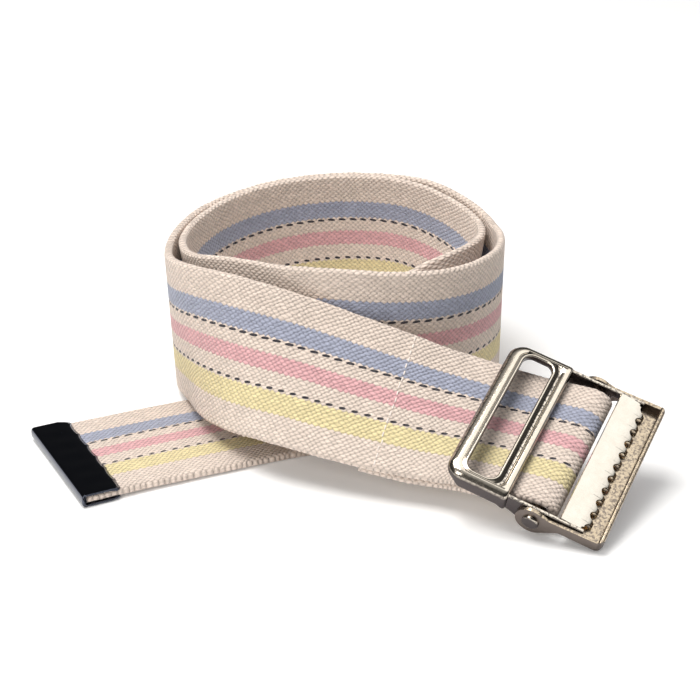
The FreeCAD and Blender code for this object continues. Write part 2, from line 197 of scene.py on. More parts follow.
# %% Table, lamps and room
def table_top():
    """A wide flat square just under the belt; it glows faintly, like a lit white sweep."""
    mesh = bpy.data.meshes.new("table_top")
    reach = 6.0
    mesh.from_pydata([(-reach, -reach, 0), (reach, -reach, 0), (reach, reach, 0), (-reach, reach, 0)],
                     [], [(0, 1, 2, 3)])
    top = bpy.data.objects.new("table_top", mesh)
    top.location.z = cad_box[0].z - 0.0003
    bpy.context.scene.collection.objects.link(top)
    paint = Paint("white_table", Roughness=0.9)
    paint.shader.inputs["Specular IOR Level"].default_value = 0.1
    paint.shader.inputs["Emission Color"].default_value = (1, 1, 1, 1)
    paint.shader.inputs["Emission Strength"].default_value = 0.12
    grain = paint.noise(paint.place(), 3.0)
    paint.feed("Base Color", paint.mix(grain, (0.92, 0.92, 0.92, 1), (0.94, 0.94, 0.94, 1)))
    mesh.materials.append(paint.material)


def lamp(name, place, aim, size, power, colour=(1, 1, 1)):
    """A square soft lamp at a place, turned to face its aim."""
    light = bpy.data.lights.new(name, "AREA")
    light.shape = "SQUARE"
    light.size = size
    light.energy = power
    light.color = colour
    holder = bpy.data.objects.new(name, light)
    holder.location = place
    holder.rotation_euler = (Vector(aim) - Vector(place)).to_track_quat("-Z", "Y").to_euler()
    bpy.context.scene.collection.objects.link(holder)


table_top()
lamp("key_lamp", (-0.35, 0.05, 1.20), (0, 0, 0), 0.75, 13.8, (1.0, 0.985, 0.96))
lamp("front_fill", (-0.7, -0.9, 0.7), (0, 0, 0.02), 0.7, 5.4, (1.0, 0.98, 0.95))

GLOW_TOWARD = (0.45, 0.12, 0.88)
GLOW_STARTS, GLOW_FULL, GLOW_LIGHT = 0.80, 0.93, 0.95      # cosines of the angle, and the radiance
ROOM_BELOW, ROOM_ABOVE = 0.30, 0.45
ROOM_BANDS = ((0.22, 0.05), (0.60, 0.05), (0.84, 0.30))    # height and light of the room's walls
world = bpy.data.worlds.new("room")
world.use_nodes = True
bpy.context.scene.world = world
sky = world.node_tree
sky.nodes.clear()
look = sky.nodes.new("ShaderNodeTexCoord")
split = sky.nodes.new("ShaderNodeSeparateXYZ")
ramp = sky.nodes.new("ShaderNodeValToRGB")
toward = sky.nodes.new("ShaderNodeVectorMath")
toward.operation = "DOT_PRODUCT"
toward.inputs[1].default_value = GLOW_TOWARD
spot = sky.nodes.new("ShaderNodeMapRange")
spot.interpolation_type = "SMOOTHSTEP"
spot.inputs["From Min"].default_value = GLOW_STARTS
spot.inputs["From Max"].default_value = GLOW_FULL
spot.inputs["To Max"].default_value = GLOW_LIGHT
both = sky.nodes.new("ShaderNodeMath")
glow = sky.nodes.new("ShaderNodeBackground")
sky_out = sky.nodes.new("ShaderNodeOutputWorld")
ramp.color_ramp.elements[0].color = (ROOM_BELOW, ROOM_BELOW, ROOM_BELOW, 1)
ramp.color_ramp.elements[1].color = (ROOM_ABOVE, ROOM_ABOVE, ROOM_ABOVE, 1)
for place, shade in ROOM_BANDS:
    stop = ramp.color_ramp.elements.new(place)
    stop.color = (shade, shade, shade, 1)
sky.links.new(look.outputs["Generated"], split.inputs[0])
sky.links.new(look.outputs["Generated"], toward.inputs[0])
sky.links.new(toward.outputs["Value"], spot.inputs["Value"])
sky.links.new(split.outputs["Z"], ramp.inputs[0])
sky.links.new(ramp.outputs["Color"], both.inputs[0])
sky.links.new(spot.outputs["Result"], both.inputs[1])
sky.links.new(both.outputs[0], glow.inputs["Color"])
sky.links.new(glow.outputs[0], sky_out.inputs[0])
print("studio ready")

# %% [markdown]
# ## The path of the webbing
# Webbing bends easily along its length and hardly at all across it, so its shape is a walk: at
# each step it turns a little to the left, leans a little, and its lower edge stays on the table
# or is lifted a little over the layer below. The rows give each stretch's length in mm, its turn
# and its lean at the end in degrees, and the lift of the lower edge at the end in mm. Between
# the rows the values run straight and are averaged over 8 mm each way.
#
# This table is not an example to follow. Most of its numbers are a fitting program's result,
# rounded, not numbers chosen by hand or worked out from a few sizes of the roll.

# %% Walk along the belt
WIDTH = 50.8 * MM
THICK = 2.9 * MM
GAP = 0.3 * MM
AXLE_RADIUS = 2.0 * MM
START_HEADING, START_LEAN, START_LIFT = 27.5, 90.0, 0.75
SPANS = [
    (63, -4, 90, 0),          # tail
    (40, -11, 90, 0),         # tail under roll
    (34.5, 24, 42, 0),        # tail rise
    (21.5, 20, 8, 0),         # inner front
    (24, 42, -10.5, 0.5),     # inner right
    (44.5, 50.5, -1, 5.5),    # inner back right
    (50, 58, -6.5, 3),        # inner back
    (51, 55.5, -10.5, 0),     # inner back left
    (28, 33, -9, 2.5),        # inner left
    (25, 26, 5, 7.5),         # front left
    (35.5, 29.5, 6, 10),      # front
    (31.5, 34.5, 0, 8),       # front right
    (35.5, 44.5, -0.5, 5),    # outer right
    (35.5, 33, -0.5, 1),      # outer right rear
    (40.5, 36.5, 0.5, 5),     # outer back right
    (50.5, 54.5, -1, 3),      # outer back
    (50, 48, -6.5, 0.5),      # outer back left
    (40, 30, -3, 0),          # outer left
    (24.5, 25, -0.5, 4.5),    # outer left front
    (51.5, 43, 42, 12),       # strap
    (53.5, 10, 60.5, 8),      # strap twist
    (16.5, -17.5, 69.5, 10),  # buckle strap
    (24, 0, 69.5, 10),        # strap end
]
EASE = 8.0          # mm each side over which the rows are averaged
STEP = 0.5          # mm between steps of the walk
RETURN_ANGLE, RETURN_BEND = math.radians(24.0), 8.0 * MM
STITCH_FROM_AXLE, RETURN_TAIL = 57.5 * MM, 5.0 * MM


def walk():
    """Centre, direction along, direction to the upper edge and inward direction at each step."""
    rows = np.array(SPANS)
    places = np.concatenate([[0], np.cumsum(rows[:, 0])])
    headings = START_HEADING + np.concatenate([[0], np.cumsum(rows[:, 1])])
    leans = np.concatenate([[START_LEAN], rows[:, 2]])
    lifts = np.concatenate([[START_LIFT], rows[:, 3]])
    at = np.arange(int(round(places[-1] / STEP)) + 1) * STEP
    window = np.clip(at[:, None] + EASE * np.linspace(-1, 1, 9), 0, places[-1])
    heading = np.radians(np.interp(window, places, headings).mean(1))
    lean = np.radians(np.interp(window, places, leans).mean(1))
    lift = np.interp(window, places, lifts).mean(1) * MM
    height = lift + WIDTH / 2 * np.cos(lean) + THICK / 2 * np.abs(np.sin(lean))
    pitch = np.arcsin(np.gradient(height, STEP * MM))
    zero = np.zeros_like(at)
    flat = np.stack([np.cos(heading), np.sin(heading), zero], 1)
    along = flat * np.cos(pitch)[:, None] + np.stack([zero, zero, np.sin(pitch)], 1)
    left = np.stack([-np.sin(heading), np.cos(heading), zero], 1)
    upper = np.cross(along, left) * np.cos(lean)[:, None] + left * np.sin(lean)[:, None]
    inward = np.cross(upper, along)
    ground = np.concatenate([[[0, 0]], np.cumsum(along[:-1, :2] * STEP * MM, 0)])
    return np.concatenate([ground, height[:, None]], 1), along, upper, inward


centre, along, upper, inward = walk()
LOOP_RADIUS = AXLE_RADIUS + GAP + THICK / 2
RETURN_DEPTH = THICK + GAP
LOOP_SLACK = 1.8 * MM
axle = np.array(next(j for j in frame["joints"] if j["name"] == "buckle_swing")["pos_m"])
centre = centre + (axle - centre[-1] - inward[-1] * LOOP_RADIUS)
print("belt to the buckle:", round(len(centre) * STEP), "mm")

# %% [markdown]
# ## The whole strip, loop included
# At the buckle the strip goes round the axle, comes back under itself, and is sewn down. The
# loop is two circular arcs and a straight run in the plane across the axle. All of it is one
# strip, so its pieces are joined and then sampled again at even steps of a third of a stitch
# of the weave, which lets the woven edge go in and out.

# %% Join the walk, the loop and the folded layer
WEAVE_PITCH = 2.12 * MM


def strip_path():
    """Centre, direction to the upper edge and face direction along the whole strip.

    Round the axle a point at angle a is axle + R (cos a, sin a) in the plane of the strap's
    direction and its outward direction, with a running from 90 degrees to -114 degrees;
    the half away from the strap stands a little further off, as a loose loop does.
    """
    t, w, o = along[-1], upper[-1], -inward[-1]
    turn = np.radians(np.linspace(90, -90 - math.degrees(RETURN_ANGLE), 40))
    low = -LOOP_RADIUS * math.cos(RETURN_ANGLE)
    top = LOOP_RADIUS - RETURN_DEPTH
    run = (top - low - RETURN_BEND * (1 - math.cos(RETURN_ANGLE))) / math.sin(RETURN_ANGLE)
    leave_x = -LOOP_RADIUS * math.sin(RETURN_ANGLE)
    end_x = leave_x - run * math.cos(RETURN_ANGLE) - RETURN_BEND * math.sin(RETURN_ANGLE)
    bend = np.linspace(math.pi / 2 - RETURN_ANGLE, math.pi / 2, 12)
    loose = np.where(turn > -math.pi / 2, LOOP_RADIUS + LOOP_SLACK, LOOP_RADIUS)
    x = np.concatenate([loose * np.cos(turn), end_x + RETURN_BEND * np.cos(bend)])
    z = np.concatenate([LOOP_RADIUS * np.sin(turn), top - RETURN_BEND + RETURN_BEND * np.sin(bend)])
    face_x = np.concatenate([np.cos(turn) / loose * LOOP_RADIUS, -np.cos(bend)])
    face_z = np.concatenate([np.sin(turn), -np.sin(bend)])
    loop = axle + x[:, None] * t + z[:, None] * o
    loop_face = face_x[:, None] * t + face_z[:, None] * o
    last = len(centre) - 1
    back = last - int(round(-end_x / (STEP * MM)))
    stop = last - int(round((STITCH_FROM_AXLE + RETURN_TAIL) / (STEP * MM)))
    folded = slice(back - 1, stop, -1)
    points = np.concatenate([centre[:-1], loop, centre[folded] + inward[folded] * RETURN_DEPTH])
    sides = np.concatenate([upper[:-1], np.repeat(w[None], len(loop), 0), upper[folded]])
    faces = np.concatenate([-inward[:-1], loop_face, inward[folded]])
    length = np.concatenate([[0], np.cumsum(np.linalg.norm(np.diff(points, axis=0), axis=1))])
    count = int(length[-1] / (WEAVE_PITCH / 3))
    even = np.arange(count + 1) * WEAVE_PITCH / 3
    even = even * length[-1] / even[-1]
    pick = lambda values: np.stack([np.interp(even, length, values[:, i]) for i in range(3)], 1)
    unit = lambda values: values / np.linalg.norm(values, axis=1)[:, None]
    return even, pick(points), unit(pick(sides)), unit(pick(faces))


strip_s, strip_centre, strip_upper, strip_face = strip_path()

# %% Turn arrays into objects
def piece_from_grid(name, points, faces, paint, body, uv=None, smooth=True):
    """A mesh object from vertices and faces, turned outward, with one (u, v) a vertex if given."""
    mesh = bpy.data.meshes.new(name)
    mesh.from_pydata(points.tolist(), [], [tuple(f) for f in faces])
    shell = bmesh.new()
    shell.from_mesh(mesh)
    bmesh.ops.recalc_face_normals(shell, faces=shell.faces)
    shell.to_mesh(mesh)
    shell.free()
    if uv is not None:
        layer = mesh.uv_layers.new(name="strip")
        loops = np.zeros(len(mesh.loops), np.int32)
        mesh.loops.foreach_get("vertex_index", loops)
        layer.data.foreach_set("uv", uv[loops].astype(np.float32).ravel())
    mesh.polygons.foreach_set("use_smooth", [smooth] * len(mesh.polygons))
    mesh.materials.append(paint.material)
    mesh.update()
    made = bpy.data.objects.new(name, mesh)
    bpy.context.scene.collection.objects.link(made)
    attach(made, body)
    print(name, len(mesh.vertices), "vertices")
    return made


def with_ends(faces, rows, ring):
    """The same faces as lists, and one face over each end row."""
    last = (rows - 1) * ring
    return faces.tolist() + [list(range(ring - 1, -1, -1)), list(range(last, last + ring))]


def ring_faces(rows, ring):
    """Quads between neighbouring rows of a grid whose rows are closed rings."""
    r, k = np.meshgrid(np.arange(rows - 1), np.arange(ring), indexing="ij")
    r, k = r.ravel(), k.ravel()
    nxt = (k + 1) % ring
    return np.stack([r * ring + k, r * ring + nxt, (r + 1) * ring + nxt, (r + 1) * ring + k], 1)

# %% [markdown]
# ## Cotton webbing
# The belt is heavy cotton webbing, woven with plump oval stitches in rows along its length. The
# rows are staggered like bricks, and each stripe is a few rows of dyed yarn. Two rows are black
# thread that shows only now and then, as dashes. The rows and stitches are a pattern on the
# strip's own length and width, so it bends with the strip and is the same on both faces.

# %% Woven cotton material
ROWS = 56
DASH_PITCH = 4.24 * MM
NATURAL = rgb(228, 211, 198)
BLUE = rgb(164, 168, 187)
PINK = rgb(224, 172, 175)
YELLOW = rgb(231, 215, 166)
BLACK = rgb(52, 48, 54)
HUSK = rgb(120, 96, 76)
STRIPES = ((11, 19, BLUE), (24, 31, PINK), (37, 46, YELLOW))
DASHES = ((19.4, 0.66, 0.0), (36.6, 0.52, 0.37))    # row, share of the pitch, start along the pitch


def cotton_paint():
    """Plump ovals on two lattices, the second half a stitch along and one row over.

    An oval's height is 1 - 0.9 (2a)^2.3 - 1.2 (2b)^1.9, with a and b the sizes of its offsets in
    stitches and in pairs of rows; the higher oval wins, and its row picks the stripe, so stripes
    end in lobed edges.
    """
    paint = Paint("woven_cotton", Roughness=0.92)
    paint.shader.inputs["Specular IOR Level"].default_value = 0.25
    paint.shader.inputs["Sheen Weight"].default_value = 0.25
    paint.shader.inputs["Sheen Roughness"].default_value = 0.6
    uv = paint.node("ShaderNodeUVMap", {"uv_map": "strip"}, {})
    s = paint.node("ShaderNodeSeparateXYZ", {}, {0: uv}, 0)
    v = paint.node("ShaderNodeSeparateXYZ", {}, {0: uv}, 1)
    drift = paint.noise(uv, 90.0, 1.0) - 0.5
    jitter = paint.noise(uv, 520.0, 1.0) - 0.5
    rows = v * (ROWS / WIDTH) + jitter * 0.6
    u = s / WEAVE_PITCH + drift * 1.3 + jitter * 0.45

    def oval(shift):
        across = rows * 0.5 + 0.5 * shift
        b = across.fract() - 0.5
        pair = across.floor()
        along_it = u + 0.5 * shift + b * 0.06
        a = along_it.fract() - 0.5
        bulk = 1.0 - (a.size() * 2.0) ** 2.3 * 0.9 - (b.size() * 2.0) ** 1.9 * 1.2
        return bulk, pair * 2.0 + (0.5 - shift), along_it.floor() + shift * 17.3

    bulk_a, row_a, cell_a = oval(0.0)
    bulk_b, row_b, cell_b = oval(1.0)
    second = bulk_b > bulk_a
    pick = lambda one, two: one + (two - one) * second
    row, cell_u = pick(row_a, row_b), pick(cell_a, cell_b)
    cell = paint.node("ShaderNodeCombineXYZ", {}, {0: cell_u, 1: row, 2: 0.0})
    chance = paint.node("ShaderNodeTexWhiteNoise", {"noise_dimensions": "2D"}, {"Vector": cell}, "Value")
    height = (pick(bulk_a, bulk_b) * 0.9 + 0.1).clamp()

    def rows_between(low, high):
        return (row > low - 0.5) * (row < high - 0.5)

    colour = NATURAL
    for low, high, dye in STRIPES:
        colour = paint.mix(rows_between(low, high), colour, dye)
    soil = paint.noise(uv, 60.0, 3.0)
    combed = paint.node("ShaderNodeMapping", {}, {"Vector": uv, "Scale": (1.0, 3.0, 1.0)})
    fibre = paint.noise(combed, 1900.0, 2.0)
    # painted shade: the colour darkens where the ovals' height falls, in the creases between stitches; the
    # other factors are random tone, soiling and fibre grain
    shade = (0.70 + height * 0.42) * (0.90 + chance * 0.16) * (0.95 + soil * 0.10) * (0.86 + fibre * 0.28)
    colour = paint.tint(colour, shade)

    def dashes(line, share, start):
        """Tapered black ovals along one row."""
        place = (s / DASH_PITCH + drift * 0.3 + start).fract() - 0.5
        off = v * (ROWS / WIDTH) + place * 0.5 - line
        return (place.size() * (2.0 / share)) ** 2.6 + (off.size() * 1.9) ** 2.0 < 1.0

    black = dashes(*DASHES[0]) + dashes(*DASHES[1])
    # painted shade: random patches of the low places between stitches are darkened by up to 22%
    stitch_gap_shade = (height < 0.34) * (paint.noise(uv, 700.0, 1.0) > 0.52)
    colour = paint.tint(colour, 1.0 - stitch_gap_shade * 0.22)
    fleck = paint.noise(uv, 420.0, 1.0) > 0.79
    colour = paint.mix((fleck * 0.30).clamp(), colour, HUSK)
    colour = paint.mix(black.clamp(), colour, BLACK)
    paint.feed("Base Color", colour)
    paint.feed("Normal", paint.bump(height + fibre * 0.22 + chance * 0.12, 0.9, 0.7 * MM))
    return paint


cotton = cotton_paint()
print("cotton rows are", round(WIDTH / ROWS / MM, 2), "mm apart")

# %% [markdown]
# The strip has two faces and two woven edges. Across it, the half thickness falls to nothing
# over the last 1.3 mm on a quarter circle, which rounds the edge. Along it, every third section
# stands out a little at the edge, as the filling yarn does where it turns back. Slow waves and
# a little random unevenness keep the edge from being a ruled line.

# %% Webbing mesh
EDGE_ROUND = 1.3 * MM
EDGE_STEPS = np.array([0, 0.12, 0.45, 0.85]) * MM       # close sections where the edge curves
EDGE_REACH = 1.1 * MM                                   # how far in from the edge it is uneven
TURN_BACK, UNEVEN, WAVES, PULLED_IN = 0.10 * MM, 0.035 * MM, 0.12 * MM, 0.1 * MM
WAVE_LENGTHS = ((31, 0.4), (17, 2.1), (9.3, 4.0), (47, 1.2))    # mm, and phase


def webbing():
    """Closed strip: each section is a flat oval ring, face side first and then the back side."""
    inner = np.linspace(EDGE_ROUND, WIDTH - EDGE_ROUND, 19)
    v = np.concatenate([EDGE_STEPS, inner, WIDTH - EDGE_STEPS[::-1]])
    near_edge = np.minimum(v, WIDTH - v)
    round_off = np.sqrt(np.clip(1 - (1 - np.clip(near_edge / EDGE_ROUND, 0, 1)) ** 2, 0, 1))
    across = np.concatenate([v, v[-2:0:-1]])
    depth = np.concatenate([round_off, -round_off[-2:0:-1]]) * THICK / 2
    count, ring = len(strip_s), len(across)
    step = np.arange(count)[:, None]
    waves = sum(math.sqrt(length) * np.sin(strip_s[:, None] / (length * MM) * 2 * math.pi + phase)
                for length, phase in WAVE_LENGTHS) / 12
    edge_share = np.exp(-(np.minimum(across, WIDTH - across) / EDGE_REACH) ** 2)
    outward = np.sign(WIDTH / 2 - across)
    turn_back = TURN_BACK * np.cos(step * (2 * math.pi / 3)) * edge_share * outward
    uneven = rng.normal(0, UNEVEN, (count, ring)) * edge_share
    sideways = (WIDTH / 2 - across)[None] - PULLED_IN * outward * edge_share + turn_back + uneven
    sideways = sideways + waves * WAVES * outward * edge_share
    points = (strip_centre[:, None] + strip_upper[:, None] * sideways[..., None]
              + strip_face[:, None] * depth[None, :, None])
    uv = np.stack([np.repeat(strip_s, ring), np.tile(across, count)], 1)
    faces = ring_faces(count, ring).tolist()
    turn = len(v)
    for start in (0, (count - 1) * ring):
        k = np.arange(turn - 1)
        end = np.stack([k, k + 1, (ring - k - 1) % ring, (ring - k) % ring], 1) + start
        faces += [list(dict.fromkeys(f)) for f in (end if start else end[:, ::-1]).tolist()]
    return points.reshape(-1, 3), faces, uv


points, faces, uv = webbing()
belt = piece_from_grid("webbing", points, faces, cotton, "belt", uv)
spans = [name for name in frame["nodes"] if name.startswith("webbing")]
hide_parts(*spans)

# %% [markdown]
# ## Stitching
# One straight row of thread holds the folded layer to the strap. Each stitch is a short capsule
# lying partly sunk in the cloth, on the strap's outer face and on the folded layer's inner face.

# %% Sew the loop
sewing = Paint("sewing_thread", Roughness=0.85)
twist = sewing.noise(sewing.place(), 2500.0, 2.0)
sewing.feed("Base Color", sewing.mix(twist, rgb(232, 218, 208), rgb(255, 248, 242)))


def capsules(ends_a, ends_b, radius, ring=8, rows=7):
    """Round-ended rods between pairs of points, as one vertex array and one face array."""
    axis = ends_b - ends_a
    unit = axis / np.linalg.norm(axis, axis=1)[:, None]
    helper = np.where(np.abs(unit[:, 2:]) < 0.9, [[0.0, 0.0, 1.0]], [[1.0, 0.0, 0.0]])
    side = np.cross(unit, helper)
    side /= np.linalg.norm(side, axis=1)[:, None]
    other = np.cross(unit, side)
    t = (1 - np.cos(np.linspace(0, math.pi, rows))) / 2
    swell = np.sqrt(np.clip(1 - (2 * t - 1) ** 4, 0.0004, 1))
    angle = np.arange(ring) * 2 * math.pi / ring
    around = side[:, None] * np.cos(angle)[None, :, None] + other[:, None] * np.sin(angle)[None, :, None]
    points = (ends_a[:, None, None] + axis[:, None, None] * t[None, :, None, None]
              + around[:, None] * (radius * swell)[None, :, None, None])
    one = ring_faces(rows, ring)
    starts = np.arange(len(ends_a)) * rows * ring
    body = (one[None] + starts[:, None, None]).reshape(-1, 4).tolist()
    for start in starts:
        body.append(list(range(start + ring - 1, start - 1, -1)))
        body.append(list(range(start + (rows - 1) * ring, start + rows * ring)))
    return points.reshape(-1, 3), body


STITCHES = 19
STITCH_ROW = WIDTH - 1.6 * MM
THREAD_RADIUS, THREAD_RISE = 0.26 * MM, 0.10 * MM       # the thread's middle is this far off the face


def stitches():
    """Rows of capsules across the belt, a gap between each and the next."""
    at = len(centre) - 1 - int(round(STITCH_FROM_AXLE / (STEP * MM)))
    middle = (np.arange(STITCHES) + 0.5) / STITCHES - 0.5
    wander = rng.normal(0, 0.12 * MM, STITCHES)
    lengths = STITCH_ROW / STITCHES * rng.uniform(0.66, 0.8, STITCHES) / 2
    reach = upper[at] * lengths[:, None]
    lines = []
    for depth in (-THICK / 2 - THREAD_RISE, RETURN_DEPTH + THICK / 2 + THREAD_RISE):
        base = centre[at] + inward[at] * depth
        lines.append(base + upper[at] * (middle * STITCH_ROW)[:, None] + along[at] * wander[:, None])
    starts = np.concatenate([line - reach for line in lines])
    ends = np.concatenate([line + reach for line in lines])
    return capsules(starts, ends, THREAD_RADIUS)


points, faces = stitches()
row_of_thread = piece_from_grid("loop_thread", points, faces, sewing, "belt")
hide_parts("loop_stitching")

# %% [markdown]
# Cotton is never quite smooth: short loose fibres stand off its faces and, more densely, its
# edges. Each fibre is a very thin rod from a random place on the strip, kept above the table.

# %% Loose fibres
FIBRE_RADIUS = 0.022 * MM
FIBRE_FLOOR = 0.1 * MM          # no fibre goes below this height


def fibres(count=1500):
    """Thin rods: a little over half start on an edge, the rest on a face, all leaning at random."""
    place = rng.integers(30, len(strip_s) - 30, count)
    on_edge = rng.random(count) < 0.55
    side = np.where(rng.random(count) < 0.5, -1.0, 1.0)
    across = np.where(on_edge, side * (WIDTH / 2 - 0.15 * MM), rng.uniform(-0.48, 0.48, count) * WIDTH)
    inside = rng.uniform(-0.3, 0.3, count) * THICK
    depth = np.where(on_edge, inside, -rng.choice([-1.0, 1.0], count) * THICK / 2)
    start = strip_centre[place] + strip_upper[place] * across[:, None] + strip_face[place] * depth[:, None]
    off_edge = strip_upper[place] * side[:, None]
    off_face = strip_face[place] * np.sign(depth)[:, None]
    away = np.where(on_edge[:, None], off_edge, off_face)
    lean = rng.normal(0, 0.8, (count, 3))
    out = away * rng.uniform(0.3, 0.7, count)[:, None] * MM
    tips = start + out + lean * rng.uniform(0.2, 0.6, count)[:, None] * MM
    for ends in (start, tips):
        ends[:, 2] = np.maximum(ends[:, 2], FIBRE_FLOOR)
    return capsules(start, tips, FIBRE_RADIUS, ring=3, rows=3)


points, faces = fibres()
piece_from_grid("loose_fibres", points, faces, sewing, "belt")

# %% [markdown]
# ## The buckle's frame
# The buckle's own axes: x from the slotted end to the toothed end, y along the axle, z up from
# the plate. They are the strap's axes at its end, tipped by 18.5 degrees.

# %% Buckle axes and sizes
DIP = math.radians(18.5)
buckle_x = along[-1] * math.cos(DIP) + inward[-1] * math.sin(DIP)
buckle_z = along[-1] * math.sin(DIP) - inward[-1] * math.cos(DIP)
buckle_y = upper[-1]
SHEET = 1.2                             # all sizes of the buckle are in mm, in its own frame
TOP, HALF = 5.8, 28.5                   # of the lever: its top face and its half width
BAR_END = -9.0
RING_FRONT, RING_HALF = -30.7, 29.7
SLOT = (-25.2, -15.0, 25.8, 3.2)        # left, right, half width and corner radius
JAW_START, JAW_END, TEETH, NOTCH = 8.2, 17.8, 10, 1.85


def from_buckle(points):
    """World positions of points given in mm in the buckle's frame."""
    points = np.asarray(points) * MM
    return axle + points[..., :1] * buckle_x + points[..., 1:2] * buckle_y + points[..., 2:] * buckle_z


def outline(x0, x1, half, front, back, side=36, arc=9):
    """Points round a rounded rectangle: four arcs and four straight sides, always in step."""
    corners = ((x1 - back, half - back, back, 0), (x0 + front, half - front, front, 90),
               (x0 + front, front - half, front, 180), (x1 - back, back - half, back, 270))
    arcs = []
    for cx, cy, radius, start in corners:
        angle = np.radians(start + np.linspace(0, 90, arc))
        arcs.append(np.stack([cx + radius * np.cos(angle), cy + radius * np.sin(angle)], 1))
    parts = []
    for this, following in zip(arcs, arcs[1:] + arcs[:1]):
        t = np.linspace(0, 1, side + 2)[1:-1, None]
        parts += [this, this[-1] * (1 - t) + following[0] * t]
    return np.concatenate(parts)

# %% [markdown]
# ## Nickel plate
# The buckle is pressed from sheet steel and plated with nickel: warm, mirror-like, slightly
# mottled where the steel under it is not smooth. The outside of the walls is painted dark, as
# painted shade, and left duller than the polished top; the plate's dips get grains of the same
# painted shade.

# %% Nickel and cap materials
def nickel_paint(name, base, worn, roughness, mottling=0.16, wall_shade_colour=None):
    """Polished plate with mottling and fine specks.

    Faces turned away from the buckle's top take a dark painted shade colour and a duller finish,
    and grains of that painted shade show where the plate dips more than 0.1 mm below the top.
    """
    paint = Paint(name, Metallic=1.0)
    place = paint.place()
    mottle = paint.noise(place, 300.0, 4.0, 0.7)
    specks = paint.noise(place, 1500.0, 2.0, 0.6)
    broad = paint.noise(place, 60.0, 2.0)
    colour = paint.mix(mottle, base, worn)
    rough = roughness + (mottle - 0.5) * mottling + (specks - 0.5) * 0.10
    if wall_shade_colour:
        # painted shade: faces turned away from the buckle's top are darkened toward the wall colour
        normal = paint.node("ShaderNodeTexCoord", {}, {}, "Normal")
        facing = paint.dot(normal, buckle_z)
        side = (1.5 - facing * 1.9 + (mottle - 0.5) * 1.1).clamp()
        # painted shade in the dips: dark grains where the plate lies more than 0.1 mm below the top
        height = paint.dot(place, buckle_z) / MM
        low = (float(axle @ buckle_z) / MM + TOP - 0.10 - height) * 1.5
        dip_shade_grains = (paint.noise(place, 1100.0, 3.0, 0.7) - 0.5) * 7.0 + 0.35
        side = side.math("MAXIMUM", low.clamp() * dip_shade_grains.clamp() * 0.85)
        colour = paint.mix(side, colour, wall_shade_colour)
        rough = rough + side * 0.12
    paint.feed("Base Color", colour)
    paint.feed("Roughness", rough.clamp())
    paint.feed("Normal", paint.bump(broad * 0.9 + mottle * 0.15, 0.3, 0.5 * MM))
    return paint


# painted shade: the last colour given to each plate darkens its walls and dips
nickel = nickel_paint("nickel_plate", rgb(240, 231, 216), rgb(216, 203, 184), 0.11, wall_shade_colour=rgb(84, 78, 78))
# painted light: a lighter copy of the lever's nickel, for the toothed plate that catches more light
lit_copy_nickel = nickel_paint("lit_copy_nickel", rgb(244, 238, 226), rgb(224, 214, 198), 0.14)
# painted shade: the base's plate is darker and warmer than the lever's, for its floor lying under the
# toothed plate
shaded_golden_plate = nickel_paint("shaded_golden_nickel", rgb(226, 210, 186), rgb(190, 170, 140), 0.2, wall_shade_colour=rgb(120, 110, 104))
cap_plate = nickel_paint("cap_plate", rgb(92, 95, 106), rgb(70, 74, 86), 0.08, 0.04)

# %% [markdown]
# ## The slotted end
# A ring of plate is pressed round the slot. From outside in: a wall, a broad rounded rim, a
# shallow channel, and a bead that turns down into the slot. The same section is carried round
# the ring, wider and deeper on the cross bar, and returns underneath one sheet lower.

# %% Press the ring
RIM = 3.2                               # width of the rounded rim
WALL_FOOT = ((-27.5, -25.0, -12.0, -9.0), (2.4, 0.2, 0.2, -1.2))    # height of the foot along the ring
CHANNEL = ((0.2, 0.0), (0.40, 0.04), (0.52, 0.34), (0.68, 0.72), (0.84, 0.62), (0.94, 0.35))
BEAD = ((1.1, -0.12), (0.85, 0.10), (0.55, 0.20), (0.25, 0.10), (0.05, -0.15), (0.0, -0.6),
        (0.0, -2.0), (0.3, -2.2), (0.7, -2.0), (0.9, -1.3))         # outside the slot, above the top


def ring_of_plate():
    """Rows of outlines, from the wall's foot over the top into the slot and back below."""
    outer = outline(RING_FRONT, BAR_END, RING_HALF, 5.6, 1.4)
    inner = outline(RING_FRONT + 3.6, BAR_END - 1.1, RING_HALF - 3.0, 3.2, 0.8)

    def rim(inset, z):
        flat = outer + (inner - outer) * inset / RIM
        return np.column_stack([flat, np.full(len(flat), z)])

    def bead(grow, z):
        x0, x1, half, radius = SLOT
        flat = outline(x0 - grow, x1 + grow, half + grow, radius + grow, radius + grow)
        return np.column_stack([flat, np.full(len(flat), z)])

    def foot(inset):
        rows = rim(inset, 0)
        wall = np.interp(rows[:, 0], *WALL_FOOT)
        lip = TOP - SHEET - 1.3
        on_lip = (rows[:, 0] > BAR_END - 1.3) & (np.abs(rows[:, 1]) < RING_HALF - SHEET)
        rows[:, 2] = np.where(on_lip, lip, wall)
        return rows

    def between(share, z_dip):
        a, b = rim(RIM, TOP), bead(1.5, TOP)
        mid = a + (b - a) * share
        on_bar = np.clip((mid[:, 0] + 16) / 3, 0, 1)
        mid[:, 2] -= z_dip * (0.25 + 0.95 * on_bar)
        return mid

    turn = np.radians(np.linspace(0, 90, 9))
    rows = [foot(0.0), foot(0.0) + [0, 0, 0.25]]
    rows += [rim(RIM * (1 - math.cos(a)), TOP - 2.55 * (1 - math.sin(a))) for a in turn]
    rows += [between(share, dip) for share, dip in CHANNEL]
    rows += [bead(grow, TOP + rise) for grow, rise in BEAD]
    under = between(0.5, 0.65)
    under[:, 2] -= SHEET
    rows += [under, rim(RIM, TOP - SHEET), rim(RIM / 2, TOP - SHEET - 0.6), rim(1.25, TOP - 2.6)]
    last = foot(1.2)
    last[:, 2] = np.minimum(last[:, 2] + 0.1, TOP - 2.7)
    rows.append(last)
    return np.array(rows)


